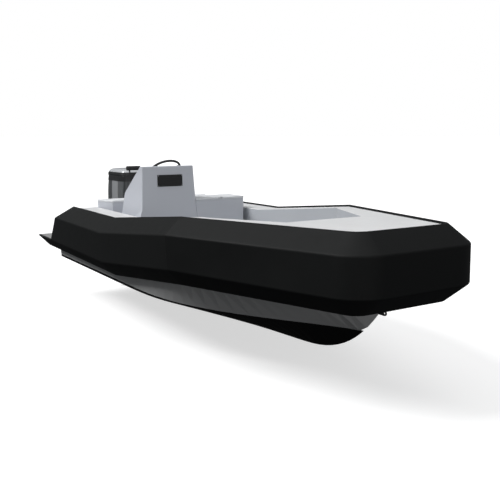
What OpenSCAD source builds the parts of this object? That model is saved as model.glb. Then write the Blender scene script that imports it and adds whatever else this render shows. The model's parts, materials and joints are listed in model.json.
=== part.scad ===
// Rigid inflatable boat with a faceted foam collar, an offset console and one outboard motor.
// +X points to the bow, +Y to port and +Z up. The origin is on the centreline, at the hull's
// stern face and at the height of the light waterline. All sizes are in millimetres.

/* [Collar plan] */
// From the hull's stern face to the aft end of the collar's top edge
rim_aft_x = 900; // [850:10:1000]
// Half-breadth of the top edge at its aft end
rim_aft_y = 971; // [900:5:1050]
// Station of the aft bend of the top edge
knuckle_x = 2193; // [2050:10:2300]
// Half-breadth at the aft bend
knuckle_y = 987; // [920:5:1060]
// Station of the shoulder, where the boat starts to narrow
shoulder_x = 3511; // [3300:10:3700]
// Half-breadth at the shoulder
shoulder_y = 919; // [860:5:1000]
// Station of the flat bow face at the top edge
bow_x = 5200; // [4900:10:5500]
// Half-breadth of the bow face, measured to its sharp corner
bow_y = 452; // [380:5:520]
// Plan radius of the bow corners at the top edge
bow_corner_r = 130; // [80:10:240]

/* [Collar section] */
// Height of the top edge above the waterline, from its aft end to the aft bend
rim_z = 780; // [720:5:860]
// Rise of the top edge at the shoulder
shoulder_rise = 132; // [0:5:180]
// Rise of the top edge at the bow
bow_rise = 159; // [0:5:220]
// How far the upper chamfer runs outward
chamfer_out = 159; // [100:5:200]
// How far the upper chamfer runs down
chamfer_drop = 140; // [90:5:180]
// Outward offset of the side's lower edge
side_out = 142; // [90:5:180]
// Drop of the side's lower edge below the top edge
side_drop = 436; // [380:5:480]
// Drop of the collar's bottom below the top edge
collar_drop = 582; // [540:5:640]
// Extra outward offset of the side's upper edge at the bow
chamfer_flare = 10; // [0:1:30]
// Extra outward offset of the side's lower edge at the bow
side_flare = 32; // [0:1:50]
// Width of the lip between the top edge and the deck
lip_w = 14; // [8:1:30]
// Height of the lip above the deck
lip_h = 18; // [8:1:30]
// Radius of the collar's long edges
edge_r = 12; // [4:1:20]
// Lean of the collar's aft end, from upright
rake_lean = 40.6; // [30:0.1:50]
// Sweep of the collar's aft end, in plan
rake_sweep = 26.7; // [0:0.1:35]

/* [Hull] */
// Half-breadth of the chine along the straight run
chine_y = 860; // [800:5:900]
// Height of the chine along the straight run
chine_z = 64; // [30:2:90]
// Rise of the chine at the stem
chine_rise = 20; // [0:5:60]
// Height of the dark band above the chine
chine_band = 26; // [12:2:50]
// Half-breadth of the side plates where they meet the collar
sheer_y = 870; // [862:2:930]
// Depth of the keel below the waterline
keel_depth = 252; // [200:4:300]
// Station where the forefoot starts to curve up
forefoot_x = 3950; // [3800:10:4100]
// Half-width of the rounded stem
stem_r = 8; // [4:1:16]

/* [Motor well] */
// Half-width of the notch for the motor
notch_y = 330; // [300:5:380]
// Aft face of the transom board
transom_x = 300; // [280:5:330]
// Thickness of the transom board
transom_t = 45; // [35:1:60]
// Height of the transom board's top
transom_top = 465; // [440:5:480]
// How far the stern platforms stand aft of the hull
platform_overhang = 155; // [80:5:200]
// Station where the collar's lower strake meets the platform
platform_front_x = 410; // [380:5:460]
// Thickness of the non-slip pads
pad_t = 6; // [3:1:10]
// Margin around the pads
pad_margin = 22; // [10:1:40]

/* [Cockpit] */
// Aft end of the cockpit
cockpit_aft_x = 950; // [930:5:1000]
// Thickness of the bulkhead between the cockpit and the motor well
bulkhead_t = 22; // [15:1:30]
// Station of the cockpit's forward corners
cockpit_turn_x = 3566; // [3300:10:3650]
// Front end of the cockpit
cockpit_front_x = 4280; // [4000:10:4350]
// Half-breadth of the cockpit
cockpit_y = 705; // [680:5:730]
// Half-breadth of the cockpit's front end
cockpit_front_y = 387; // [300:5:450]
// Height of the cockpit's floor moulding
floor_z = 330; // [300:5:360]
// Thickness of the sole panel
sole_t = 12; // [6:1:20]
// Gap around the sole panel
sole_gap = 8; // [4:1:15]

/* [Console] */
// Starboard side of the console at its top
console_stb_y = -565; // [-600:5:-520]
// Port side of the console at its top
console_port_y = 32; // [0:2:50]
// How much the starboard side spreads at the foot
console_stb_flare = 34; // [0:2:50]
// How much the port side spreads at the foot
console_port_flare = 58; // [0:2:58]
// Station of the front face at its top
console_front_x = 1939; // [1880:5:2000]
// Height of the console's top
console_top_z = 1258; // [1220:5:1300]
// Length of the flat top
console_ledge = 59; // [30:1:90]
// Slope of the dash from level
dash_slope = 36.7; // [30:0.1:42]
// Length of the dash
dash_len = 482; // [460:2:500]
// Thickness of the instrument panel
dash_panel_t = 5; // [3:1:8]

/* [Seats] */
// Front face of the seat locker
locker_front_x = 1945; // [1900:5:1980]
// Length of the seat locker
locker_len = 331; // [300:5:380]
// Port side of the seat locker
locker_port_y = 671; // [640:1:680]
// Height of the seat locker's top
locker_top_z = 899; // [860:1:930]
// Front face of the aft bench
bench_front_x = 1215; // [1170:5:1260]
// Half-breadth of the aft bench at its front
bench_front_y = 615; // [560:5:650]
// Half-breadth of the aft bench at its back
bench_aft_y = 700; // [665:1:700]
// Length of the bench's straight ends, before its corners are cut
bench_end_len = 35; // [20:5:80]
// Height of the aft bench's top
bench_top_z = 852; // [830:1:880]
// Wall of both lockers
locker_wall = 15; // [10:1:22]
// Thickness of both lids
lid_t = 25; // [18:1:32]

/* [Helm] */
// Radius of the steering wheel to the middle of its rim
wheel_r = 172; // [160:1:185]
// Radius of the wheel's rim tube
wheel_tube_r = 13; // [9:1:16]
// Offset of the wheel's centre to port
wheel_y = -137; // [-200:1:-120]
// Distance of the wheel's centre from the dash
wheel_standoff = 130; // [110:1:150]
// Distance of the wheel's axis from the dash's lower edge, along the dash
wheel_up_dash = 212; // [190:1:230]
// Station of the throttle lever's pivot
throttle_x = 1600; // [1570:1:1630]
// Offset of the throttle lever's box
throttle_y = -508; // [-520:1:-470]
// Length of the throttle's grip
grip_len = 150; // [110:1:160]

/* [Outboard] */
// Distance of the tilt axis forward of the transom board's aft face
tilt_setback = -22; // [-30:1:-15]
// Height of the tilt axis above the transom board
tilt_up = 55; // [50:1:65]
// Distance of the steering axis aft of the transom board
steer_aft = 112; // [106:1:125]
// Distance of the drive shaft aft of the steering axis
shaft_aft = 92; // [86:1:110]
// Length from the transom board's top to the anti-ventilation plate
shaft_len = 620; // [610:5:650]
// Top of the cowl above the transom board
cowl_up = 698; // [660:2:720]
// Forward end of the cowl, from the steering axis
cowl_fwd = 257; // [220:1:260]
// Aft end of the cowl, from the steering axis
cowl_aft = 363; // [330:1:380]
// Half-width of the cowl
cowl_half_w = 190; // [170:1:200]
// Radius of the propeller
prop_r = 125; // [110:1:138]
// Depth of the propeller's axis below the anti-ventilation plate
prop_drop = 150; // [146:1:165]
// Radius of the gearcase
gearcase_r = 46; // [38:1:52]

/* [Fittings] */
// Radius of the bow eye's hole
bow_eye_r = 10; // [6:1:14]
// Radius of the stern eyes' holes
stern_eye_r = 12; // [6:1:14]
// Thickness of the eyes
eye_t = 12; // [8:1:16]
// Distance of the stern eyes from the centreline
stern_eye_y = 560; // [450:10:700]

/* [Hidden] */
$fn = 48;
// Gap between a moving piece and its seat
seat_gap = 0.3;
// Radial clearance of a running fit
run_fit = 0.05;
// Gap that the glue or sealant fills between two pieces of the hull or the console
bond = 0.1;
// Length that surely passes the whole boat
far = 8000;

// ---- Collar path and section ----

// Height of the collar's top edge at a station
function rim_height(x) = rim_z + lookup(x, [
    [knuckle_x, 0], [shoulder_x, shoulder_rise], [bow_x, bow_rise]]);

// Outward normal, to port, of a line from p to q
function side_normal(p, q) = let (d = (q - p) / norm(q - p)) [-d[1], d[0]];

// Offset at a bend that moves both neighbouring lines out by one unit
function mitre(n1, n2) = (n1 + n2) / (1 + n1 * n2);

rim_aft = [rim_aft_x, rim_aft_y];
knuckle = [knuckle_x, knuckle_y];
shoulder = [shoulder_x, shoulder_y];
bow_corner = [bow_x, bow_y];
aft_normal = side_normal(rim_aft, knuckle);
mid_normal = side_normal(knuckle, shoulder);
fore_normal = side_normal(shoulder, bow_corner);
bow_turn = atan2(fore_normal[1], fore_normal[0]);
bow_arc_centre = bow_corner - mitre(fore_normal, [1, 0]) * bow_corner_r;
bow_arc_steps = 12;
aft_start = rim_aft - (knuckle - rim_aft) * 0.9;

// Each entry is a point of the top edge and the offset of one unit there
shoulder_bend = [shoulder, mitre(mid_normal, fore_normal)];
side_path = [
    [aft_start, aft_normal],
    [knuckle, mitre(aft_normal, mid_normal)],
    shoulder_bend];
bow_half_path = [for (i = [0:bow_arc_steps])
    let (a = bow_turn * (1 - i / bow_arc_steps), n = [cos(a), sin(a)])
    [bow_arc_centre + n * bow_corner_r, n]];
function flip_path(path) = [for (i = [len(path) - 1:-1:0])
    [[path[i][0][0], -path[i][0][1]], [path[i][1][0], -path[i][1][1]]]];
bow_path = concat([shoulder_bend], bow_half_path, flip_path(bow_half_path), flip_path([shoulder_bend]));

// Corners of the collar's section, as offsets outward and up from the top edge
collar_corners = [
    [0, 0], [chamfer_out, -chamfer_drop], [side_out, -side_drop], [0, -collar_drop],
    [-lip_w, -collar_drop], [-lip_w, 0]];
edge_steps = 3;

// Points that round the corner at b, between a and c
function rounded_corner(a, b, c, r) =
    let (
        u = a - b, v = c - b,
        reach = min(r, norm(u) * 0.4, norm(v) * 0.4),
        p = b + u / norm(u) * reach, q = b + v / norm(v) * reach)
    [for (i = [0:edge_steps]) let (t = i / edge_steps)
        p * (1 - t) * (1 - t) + b * 2 * t * (1 - t) + q * t * t];
function rounded_outline(corners, r) = let (n = len(corners))
    [for (i = [0:n - 1]) each rounded_corner(corners[(i + n - 1) % n], corners[i], corners[(i + 1) % n], r)];
collar_section = rounded_outline([for (i = [len(collar_corners) - 1:-1:0]) collar_corners[i]], edge_r);

// Extra outward offset at a station, for a point of the section
function flare(x, p) = p[0] <= 0 ? 0 : lookup(x, [[shoulder_x, 0], [bow_x, 1]])
    * lookup(p[1], [[-collar_drop, 0], [-side_drop, side_flare], [-chamfer_drop, chamfer_flare], [0, 0]]);

// Section of the collar at one entry of its path
function collar_ring(entry) = [for (p = collar_section)
    let (x = entry[0][0], plan = entry[0] + entry[1] * (p[0] + flare(x, p)))
    [plan[0], plan[1], rim_height(x) + p[1]]];

// Inner wall of the collar in plan, a distance inside its top edge
function inner_wall(path, inset) = [for (entry = path) entry[0] - entry[1] * inset];

// Closed solid through rings of equal length
module loft(rings) {
    n = len(rings[0]);
    last = (len(rings) - 1) * n;
    polyhedron(
        [for (r = rings) each r],
        concat(
            [[for (j = [0:n - 1]) j]],
            [for (k = [0:n:last - n], j = [0:n - 1]) each [
                [k + j, k + n + j, k + (j + 1) % n],
                [k + (j + 1) % n, k + n + j, k + n + (j + 1) % n]]],
            [[for (j = [n - 1:-1:0]) last + j]]));
}

module mirrored_to_starboard() {
    mirror([0, 1, 0]) children();
}

// ---- Collar ----

strake_z = rim_z - side_drop;
rake_wedge = 3000;

// Everything aft of the raked end, above the lower strake
module rake_cut() {
    difference() {
        translate([rim_aft_x, rim_aft_y, rim_z])
            rotate([0, 0, rake_sweep])
                rotate([0, rake_lean, 0])
                    translate([-rake_wedge, -rake_wedge / 2, -rake_wedge / 2])
                        cube(rake_wedge);
        translate([-far / 2, -far / 2, strake_z - far])
            cube(far);
    }
}

module collar_side() {
    difference() {
        loft([for (entry = side_path) collar_ring(entry)]);
        rake_cut();
        translate([platform_front_x - far, -far / 2, -far / 2])
            cube(far);
    }
}

module collar_port() {
    color("#1c1c1c") collar_side();
}

module collar_starboard() {
    color("#1c1c1c") mirrored_to_starboard() collar_side();
}

module collar_bow() {
    color("#151515") loft([for (entry = bow_path) collar_ring(entry)]);
}

// ---- Hull ----

// The keel starts to rise this far aft of the forefoot, and rises at this slope
keel_rise_x = forefoot_x - 1450;
keel_slope = 0.05;
// The stem's curve: how high it climbs over a length, as a cubic
stem_reach = 970;
stem_height = 384;
// Stations where the chine and the sheer start to narrow
chine_turn_x = 2400;
sheer_turn_x = 3000;
// Height of the dark band at the stem
band_tip = 3;
// How far the side plates tuck in under the collar, and the width of the flat at the keel
plate_lap = 1;
keel_flat = 0.5;
mid_stations = 8;
fore_stations = 16;

function cube_of(v) = v * v * v;

// Height of the keel line, straight aft and curving up into the stem
function keel_z(x) = -keel_depth + keel_slope * max(0, x - keel_rise_x)
    + stem_height * cube_of(max(0, x - forefoot_x) / stem_reach);

// Where the keel line reaches a height, by halving
function keel_reach(z, a = 4000, b = 5400, n = 24) =
    n == 0 ? (a + b) / 2 : let (m = (a + b) / 2)
    keel_z(m) < z ? keel_reach(z, m, b, n - 1) : keel_reach(z, a, m, n - 1);

hull_top_bow = rim_z + bow_rise - collar_drop;
stem_top_x = keel_reach(hull_top_bow - 8);
chine_end_x = keel_reach(chine_z + chine_rise);
band_end_x = keel_reach(chine_z + chine_rise + band_tip);

// Full aft, narrowing to the stem between two stations
function taper(x, from, to, a, b) =
    let (t = min(1, max(0, (x - from) / (to - from)))) pow(1 - pow(t, a), b);
function chine_half(x) = max(stem_r, chine_y * taper(x, chine_turn_x, chine_end_x, 2.4, 1.4));
function fore_share(x) = min(1, max(0, (x - knuckle_x) / (chine_end_x - knuckle_x)));
function chine_height(x) = chine_z + chine_rise * fore_share(x);
function band_top(x) = chine_height(x) + band_tip + (chine_band - band_tip) * (1 - fore_share(x));
function hull_top(x) = rim_height(x) - collar_drop;
function wall_half(x) = lookup(x, [for (p = inner_wall(side_wall_path, lip_w)) p]);
side_wall_path = [side_path[0], side_path[1], side_path[2], bow_half_path[0]];
function sheer_half(x) = max(stem_r,
    min(wall_half(x), sheer_y * taper(x, sheer_turn_x, stem_top_x, 2.2, 0.75)));

// Stations, closer together towards the stem
function stations(to) = concat(
    [0, knuckle_x / 2, knuckle_x],
    [for (i = [0:mid_stations - 1]) chine_turn_x + (shoulder_x - chine_turn_x) * i / mid_stations],
    [for (i = [0:fore_stations])
        shoulder_x + (to - shoulder_x) * (1 - pow(1 - i / fore_stations, 1.5))]);

function bottom_ring(x) =
    let (
        keel = keel_z(x), y = chine_half(x) + plate_lap,
        z = max(chine_height(x), keel + 1), top = max(band_top(x), z + 1))
    [[x, -stem_r, keel + keel_flat], [x, 0, keel], [x, stem_r, keel + keel_flat],
     [x, y, z + keel_flat], [x, y, top], [x, -y, top], [x, -y, z + keel_flat]];
function topsides_ring(x) =
    let (
        low = max(band_top(x), keel_z(x)), top = max(hull_top(x), low + 2),
        foot = chine_half(x) + plate_lap, head = sheer_half(x) + plate_lap)
    [[x, foot, low], [x, head, top], [x, -head, top], [x, -foot, low]];

// The notch that the motor's leg hangs in
module motor_notch() {
    translate([-far / 2, -notch_y, -far / 2])
        cube([far / 2 + transom_x + transom_t, 2 * notch_y, far]);
}

module hull_bottom() {
    color("#0d0d0d") difference() {
        loft([for (x = stations(band_end_x)) bottom_ring(x)]);
        motor_notch();
    }
}

module hull_topsides() {
    color("#484848") difference() {
        loft([for (x = stations(stem_top_x)) topsides_ring(x)]);
        motor_notch();
        cockpit_space();
    }
}

// ---- Deck and cockpit ----

// A side profile, in X and Z, drawn across the whole beam
module across(points, from = -far / 2, to = far / 2) {
    translate([0, to, 0]) rotate([90, 0, 0]) linear_extrude(to - from) polygon(points);
}

// A front profile, in Y and Z, drawn along the whole length
module along(points, from = -far / 2, to = far / 2) {
    translate([from, 0, 0]) rotate([90, 0, 90]) linear_extrude(to - from) polygon(points);
}

function both_sides(half) = concat(half, [for (i = [len(half) - 1:-1:0]) [half[i][0], -half[i][1]]]);
well_front_x = transom_x + transom_t;
deck_half_plan = concat(
    [[well_front_x, notch_y], [platform_front_x, notch_y],
     [platform_front_x, wall_half(platform_front_x) - bond]],
    inner_wall([side_path[1], side_path[2]], lip_w + bond),
    inner_wall(bow_half_path, lip_w + bond));
bulkhead_x = cockpit_aft_x - bulkhead_t;
function deck_bottom(x) = hull_top(x) + bond;
deck_profile = [
    [well_front_x, strake_z], [bulkhead_x, strake_z], [bulkhead_x, rim_z - lip_h],
    [knuckle_x, rim_z - lip_h], [shoulder_x, rim_z + shoulder_rise - lip_h],
    [bow_x, rim_z + bow_rise - lip_h], [bow_x, deck_bottom(bow_x)],
    [shoulder_x, deck_bottom(shoulder_x)], [knuckle_x, deck_bottom(knuckle_x)],
    [well_front_x, deck_bottom(0)]];
cockpit_half_plan = [
    [cockpit_aft_x, cockpit_y], [cockpit_turn_x, cockpit_y], [cockpit_front_x, cockpit_front_y]];

module cockpit_space(inset = 0, from = floor_z) {
    translate([0, 0, from]) linear_extrude(far)
        polygon(both_sides([
            cockpit_half_plan[0] + [inset, -inset], cockpit_half_plan[1] + [-inset / 4, -inset],
            cockpit_half_plan[2] + [-inset, -inset / 2]]));
}

module deck_moulding() {
    color("#e0e0e0") difference() {
        intersection() {
            translate([0, 0, -far / 2]) linear_extrude(far) polygon(both_sides(deck_half_plan));
            across(deck_profile);
        }
        cockpit_space();
    }
}

sole_z = floor_z + sole_t;

module cockpit_sole() {
    color("#9fa2a4") intersection() {
        cockpit_space(sole_gap, floor_z);
        translate([0, -far / 2, 0]) cube([far, far, sole_z]);
    }
}

// ---- Stern ----

strake_bottom = rim_z - collar_drop;

// Half-breadth of the lower strake at a station, a distance outside the top edge's line
function strake_half(x, out) = lookup(x, [for (entry = side_path) entry[0] + entry[1] * out]);
function platform_ring(x) = [
    [x, notch_y, strake_bottom], [x, strake_half(x, 0), strake_bottom],
    [x, strake_half(x, side_out), strake_z], [x, notch_y, strake_z]];

module platform_side() {
    loft([platform_ring(-platform_overhang), platform_ring(platform_front_x)]);
}

module stern_platform_port() {
    color("#141414") platform_side();
}

module stern_platform_starboard() {
    color("#141414") mirrored_to_starboard() platform_side();
}

module pad_side() {
    translate([pad_margin - platform_overhang, notch_y + pad_margin, strake_z])
        cube([platform_overhang + platform_front_x - 2 * pad_margin,
            strake_half(0, side_out) - notch_y - 2 * pad_margin, pad_t]);
}

module platform_pad_port() {
    color("#8c8c8c") pad_side();
}

module platform_pad_starboard() {
    color("#8c8c8c") mirrored_to_starboard() pad_side();
}

transom_corner = 90;
notch_rise = (chine_z + keel_depth) * notch_y / chine_y;

module transom_board() {
    color("#d8d8d8") along([
        [-notch_y, notch_rise - keel_depth], [0, -keel_depth], [notch_y, notch_rise - keel_depth],
        [notch_y, transom_top - transom_corner], [notch_y - transom_corner, transom_top],
        [transom_corner - notch_y, transom_top], [-notch_y, transom_top - transom_corner]],
        transom_x, transom_x + transom_t);
}

// An eye: a plate standing in the X-Z plane with a round hole across it
module eye(hole_r, reach) {
    rotate([90, 0, 0]) translate([0, 0, -eye_t / 2]) difference() {
        hull() {
            cylinder(r = hole_r + eye_rim, h = eye_t);
            translate([reach - 1, -hole_r - eye_rim, 0]) cube([1, 2 * (hole_r + eye_rim), eye_t]);
        }
        translate([0, 0, -1]) cylinder(r = hole_r, h = eye_t + 2);
    }
}

// Metal around an eye's hole
eye_rim = 9;
// The bow eye stands this far off the stem, on a shank that reaches into it
bow_eye_z = 278;
bow_eye_x = keel_reach(bow_eye_z) + 55;
bow_eye_shank = 60;
stern_eye_x = -36;
stern_eye_z = 144;

module bow_eye() {
    color("#101010") translate([bow_eye_x, 0, bow_eye_z])
        rotate([0, 180, 0]) eye(bow_eye_r, bow_eye_shank);
}

module stern_eyes() {
    color("#b8babd") for (side = [-1, 1])
        translate([stern_eye_x, side * stern_eye_y, stern_eye_z])
            eye(stern_eye_r, -stern_eye_x);
}

// ---- Console ----

dash_dir = [cos(dash_slope), sin(dash_slope)];
dash_out = [-sin(dash_slope), cos(dash_slope)];
dash_top = [console_front_x - console_ledge, console_top_z];
dash_foot = dash_top - dash_dir * dash_len;
// Below the dash the aft face steps out twice, then drops straight to the sole
knee = dash_foot + [-44, -76];
shin = knee + [-67, -200];
heel = [shin[0], sole_z];
// The front face stands this much further forward at its foot
front_rake = 21;
front_foot = [console_front_x + front_rake, sole_z];
console_h = console_top_z - sole_z;
function console_stb(z) = console_stb_y - console_stb_flare * (console_top_z - z) / console_h;
function console_port(z) = console_port_y + console_port_flare * (console_top_z - z) / console_h;
function console_front(z) = console_front_x + front_rake * (console_top_z - z) / console_h;

module console_body() {
    color("#b4b7bc") intersection() {
        across([front_foot, [console_front_x, console_top_z], dash_top, dash_foot, knee, shin, heel]);
        along([[console_stb(sole_z), sole_z], [console_port(sole_z), sole_z],
            [console_port_y, console_top_z], [console_stb_y, console_top_z]]);
    }
}

// A point on the dash: distance up its slope and height over its surface
function on_dash(up, out) = dash_foot + dash_dir * up + dash_out * out;

// Places children on the dash, with +X up its slope and +Z square to it
module at_dash(up, y, out = 0) {
    p = on_dash(up, out);
    translate([p[0], y, p[1]]) rotate([0, -dash_slope, 0]) children();
}

// The panel's place: up the dash, and its margins to the throttle box and the console's side
panel_up = 64;
panel_len = 330;
panel_stb = throttle_y + 62;
panel_port = console_port_y - 46;
panel_hole_gap = 1;

module dash_panel() {
    color("#202224") at_dash(panel_up, panel_stb, bond)
        difference() {
            cube([panel_len, panel_port - panel_stb, dash_panel_t]);
            translate([wheel_up_dash - panel_up, wheel_y - panel_stb, -1])
                cylinder(r = helm_base_r + panel_hole_gap, h = dash_panel_t + 2);
        }
}

vent_y = -250;
vent_z = 1104;
vent_w = 290;
vent_h = 124;
vent_t = 8;
vent_slats = 5;
vent_frame = 10;
// Thickness of the vent's back, and the share of each slat's pitch that is open
vent_back = 2;
vent_open = 0.6;

module console_vent() {
    pitch = (vent_h - 2 * vent_frame) / vent_slats;
    color("#101214") translate([console_front(vent_z) + bond, vent_y, vent_z])
        rotate([0, -atan(front_rake / console_h), 0])
        difference() {
            translate([0, -vent_w / 2, -vent_h / 2]) cube([vent_t, vent_w, vent_h]);
            for (i = [0:vent_slats - 1])
                translate([vent_back, vent_frame - vent_w / 2, vent_frame - vent_h / 2 + i * pitch])
                    cube([vent_t, vent_w - 2 * vent_frame, pitch * vent_open]);
        }
}

foot_z = 806;
foot_low_z = 680;
foot_aft_x = 1650;
foot_spread = 26;

// Three-cornered flare at the console's forward starboard foot
module console_foot() {
    color("#9b9ea4") polyhedron(
        [[console_front(foot_z), console_stb(foot_z), foot_z],
         [console_front(foot_low_z), console_stb(foot_low_z), foot_low_z],
         [console_front(foot_low_z), console_stb(foot_low_z) - foot_spread, foot_low_z],
         [foot_aft_x, console_stb(foot_low_z), foot_low_z]],
        [[0, 1, 2], [0, 2, 3], [0, 3, 1], [1, 3, 2]]);
}

// ---- Seats ----

// Hinges behind both lids: barrel radius, gap to the lid's edge, length of a knuckle
hinge_r = 5;
hinge_gap = 1;
knuckle_len = 60;
leaf_drop = 18;
hinge_back = hinge_r + hinge_gap;

// Places a hinge's pieces with its axis on the origin's Y line
module at_hinge(aft_x, mid_y, lid_low_z) {
    translate([aft_x - hinge_back, mid_y, lid_low_z]) children();
}

// The lid's knuckle, in the middle of the hinge
module lid_knuckle() {
    translate([0, knuckle_len / 2, 0]) rotate([90, 0, 0]) cylinder(r = hinge_r, h = knuckle_len);
    translate([0, -knuckle_len / 2, 0]) cube([hinge_back, knuckle_len, hinge_r]);
}

// The locker's two knuckles, with a leaf down its aft face
module locker_knuckles() {
    for (side = [-1, 1])
        translate([0, side * (knuckle_len + seat_gap) - knuckle_len / 2, 0]) {
            translate([0, knuckle_len, 0]) rotate([90, 0, 0]) cylinder(r = hinge_r, h = knuckle_len);
            translate([0, 0, -leaf_drop]) cube([hinge_back, knuckle_len, leaf_drop - seat_gap]);
        }
}

locker_aft_x = locker_front_x - locker_len;
locker_body_top = locker_top_z - lid_t - seat_gap;
lid_side_gap = 6;
bench_body_top = bench_top_z - lid_t - seat_gap;

function locker_face(inset, low, top) = [
    [console_port(low) + inset, low], [locker_port_y - inset, low],
    [locker_port_y - inset, top], [console_port(top) + inset, top]];

// Edges of the seat locker's lid, and the places of its hinges
locker_lid_z = locker_top_z - lid_t;
lid_stb_y = console_port(locker_lid_z) + lid_side_gap;
locker_hinges = [for (share = [0.2, 0.8]) lid_stb_y + (locker_port_y - lid_stb_y) * share];

// Open-topped box whose starboard side leans with the console
module seat_locker() {
    color("#b0b3b7") {
        difference() {
            along(locker_face(0, sole_z, locker_body_top), locker_aft_x, locker_front_x);
            along(locker_face(locker_wall, sole_z + locker_wall, locker_top_z),
                locker_aft_x + locker_wall, locker_front_x - locker_wall);
        }
        for (y = locker_hinges) at_hinge(locker_aft_x, y, locker_lid_z) locker_knuckles();
    }
}

module seat_locker_lid() {
    color("#d4d6d8") {
        translate([locker_aft_x, lid_stb_y, locker_lid_z])
            cube([locker_len, locker_port_y - lid_stb_y, lid_t]);
        for (y = locker_hinges) at_hinge(locker_aft_x, y, locker_lid_z) lid_knuckle();
    }
}

bench_aft_x = cockpit_aft_x;
function bench_plan(inset) = both_sides([
    [bench_aft_x + inset, bench_aft_y - inset],
    [bench_aft_x + bench_end_len - inset * 0.2, bench_aft_y - inset],
    [bench_front_x - inset, bench_front_y - inset * 0.7]]);

bench_lid_z = bench_top_z - lid_t;
bench_hinges = [for (share = [-0.7, 0, 0.7]) bench_aft_y * share];

module aft_bench() {
    color("#a9acb0") {
        difference() {
            translate([0, 0, sole_z]) linear_extrude(bench_body_top - sole_z) polygon(bench_plan(0));
            translate([0, 0, sole_z + locker_wall]) linear_extrude(far)
                polygon(bench_plan(locker_wall));
        }
        for (y = bench_hinges) at_hinge(bench_aft_x, y, bench_lid_z) locker_knuckles();
    }
}

module aft_bench_lid() {
    color("#d4d6d8") {
        translate([0, 0, bench_lid_z]) linear_extrude(lid_t) polygon(bench_plan(0));
        for (y = bench_hinges) at_hinge(bench_aft_x, y, bench_lid_z) lid_knuckle();
    }
}

// ---- Helm ----

helm_base_r = 62;
helm_base_t = 34;
helm_base_taper = 12;
helm_neck_r = 26;
wheel_pin_r = 9;
hub_r = 34;
hub_cap = 8;
// Length of the hub below the rim's plane, and of the fixed neck below the hub
hub_drop = 41;
hub_gap = 1;
column_len = wheel_standoff - hub_drop - hub_gap;
pin_len = wheel_standoff + hub_cap - 2;
spoke_w = 30;
spoke_t = 8;
spokes = 3;
// How far the spokes run into the rim's tube
spoke_bite = 4;

// Turned pieces round the wheel's axis; +Z leaves the dash
module at_wheel_axis() {
    at_dash(wheel_up_dash, wheel_y, bond) children();
}

module helm_column() {
    color("#1a1a1c") at_wheel_axis() {
        cylinder(r1 = helm_base_r, r2 = helm_base_r - helm_base_taper, h = helm_base_t);
        cylinder(r = helm_neck_r, h = column_len);
        cylinder(r = wheel_pin_r, h = pin_len);
    }
}

module wheel_hub() {
    color("#1e1e20") at_wheel_axis() difference() {
        union() {
            translate([0, 0, column_len + hub_gap])
                cylinder(r = hub_r, h = wheel_standoff + hub_cap - column_len);
            for (i = [0:spokes - 1])
                rotate([0, 0, 180 + i * 360 / spokes])
                    translate([0, -spoke_w / 2, wheel_standoff - spoke_t / 2])
                        cube([wheel_r - wheel_tube_r + spoke_bite, spoke_w, spoke_t]);
        }
        translate([0, 0, column_len])
            cylinder(r = wheel_pin_r + run_fit, h = pin_len + 0.5 - column_len);
    }
}

module wheel_rim() {
    color("#141416") at_wheel_axis() translate([0, 0, wheel_standoff]) rotate_extrude($fn = 72)
        translate([wheel_r, 0]) circle(r = wheel_tube_r, $fn = 24);
}

throttle_up = (throttle_x - dash_foot[0]) / dash_dir[0];
box_len = 120;
box_w = 48;
box_h = 30;
// The lever's pivot stands this high off the dash, in a round boss
pivot_up = 35;
boss_r = 34;
lever_len = 154;
lever_lean = 14;
pivot_r = 18;
grip_r = 24;
arm_r = 8;
// Gap between the arm and the box's side
arm_gap = 2;

module throttle_box() {
    color("#232426") at_dash(throttle_up, throttle_y, bond) {
        translate([-box_len / 2, -box_w / 2, 0]) cube([box_len, box_w, box_h]);
        translate([0, box_w / 2, pivot_up]) rotate([90, 0, 0]) cylinder(r = boss_r, h = box_w);
    }
}

// Lever arm on the box's starboard side, with a cross grip that runs inboard
module throttle_lever() {
    pivot = on_dash(throttle_up, pivot_up);
    arm_y = throttle_y - box_w / 2 - arm_gap - arm_r;
    color("#121214") translate([pivot[0], arm_y, pivot[1]]) {
        rotate([-90, 0, 0]) cylinder(r = pivot_r, h = arm_gap + arm_r);
        rotate([0, -lever_lean, 0]) {
            cylinder(r = arm_r, h = lever_len);
            translate([0, -grip_r - 3, lever_len]) rotate([-90, 0, 0])
                cylinder(r = grip_r, h = grip_len);
        }
    }
}

// ---- Outboard ----

tilt_x = transom_x + tilt_setback;
tilt_z = transom_top + tilt_up;
steer_x = transom_x - steer_aft;
drive_x = steer_x - shaft_aft;
plate_z = transom_top - shaft_len;
prop_z = plate_z - prop_drop;
tube_r = 17;
// Inner face and thickness of each clamp arm, how far it reaches down, and its eye's radius
clamp_y = 118;
clamp_t = 24;
clamp_drop = 310;
clamp_eye_r = 30;
// The arm's hook over the board: how far it laps the front face, and its thickness
hook_lap = 62;
hook_t = 28;
sleeve_r = 28;
sleeve_half = clamp_y - 6;
swivel_r = 36;
king_r = 15;
swivel_top = tilt_z + 22;
swivel_foot = plate_z + 330;
arm_w = 80;
arm_h = 40;
web_w = 24;
web_drop = 180;

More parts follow.
